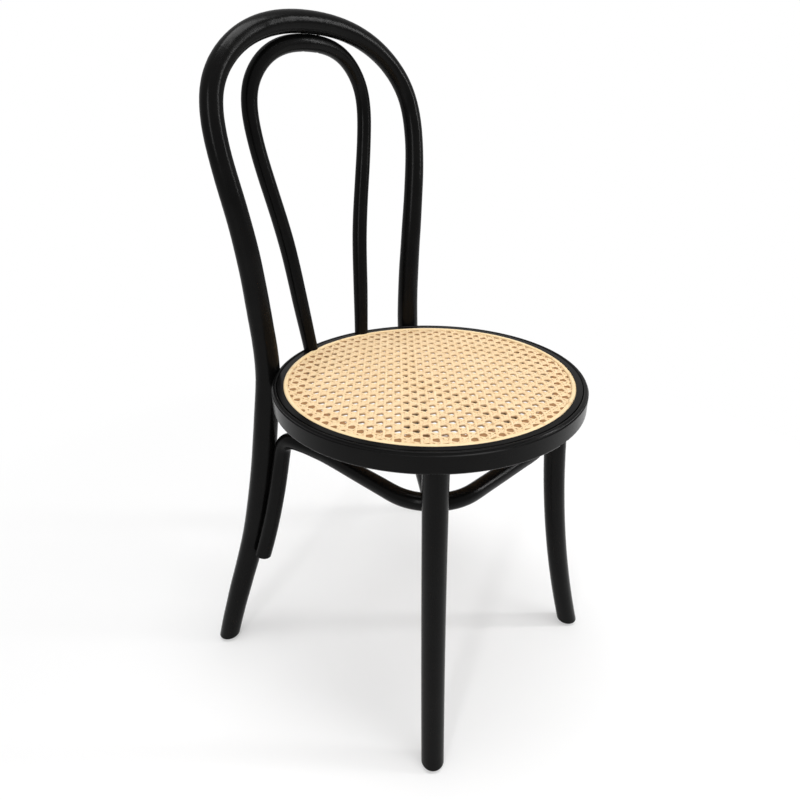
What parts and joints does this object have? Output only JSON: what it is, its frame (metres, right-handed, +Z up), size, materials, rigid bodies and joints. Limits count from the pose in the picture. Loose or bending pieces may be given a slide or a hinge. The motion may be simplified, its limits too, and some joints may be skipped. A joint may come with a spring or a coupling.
{
  "type": "bentwood bistro chair",
  "caption": "Bentwood cafe chair with a round woven cane seat, bent back hoop, inner back loop, outward curved legs and a bow stretcher.",
  "frame": {"origin": "on the floor, under the middle of the chair's outline", "axes": "+Z up; the sitter faces -Y; X runs across the chair, and the back hoop stands at +Y"},
  "size_m": [0.513, 0.4306, 0.8729],
  "materials": {
    "black_lacquered_wood": "black satin lacquer on bent beech",
    "natural_cane": "natural rattan cane, clear varnish",
    "natural_reed": "natural rattan reed, clear varnish",
    "dark_steel": "blackened steel",
    "black_plastic": "moulded black plastic"
  },
  "bodies": {
    "root": {"seat_ring": "black_lacquered_wood", "cane_panel": "natural_cane", "cane_spline": "natural_reed", "outer_hoop": "black_lacquered_wood", "inner_loop": "black_lacquered_wood", "front_leg_left": "black_lacquered_wood", "front_leg_right": "black_lacquered_wood", "bow_stretcher": "black_lacquered_wood", "hoop_bolts": "dark_steel", "hoop_bolt_washers": "dark_steel", "hoop_bolt_nuts": "dark_steel", "loop_foot_screws": "dark_steel", "loop_crown_screws": "dark_steel", "leg_lock_screws": "dark_steel", "bow_front_screws": "dark_steel", "bow_rear_screws": "dark_steel", "foot_glides": "black_plastic", "glide_nails": "dark_steel"}
  },
  "joints": []
}
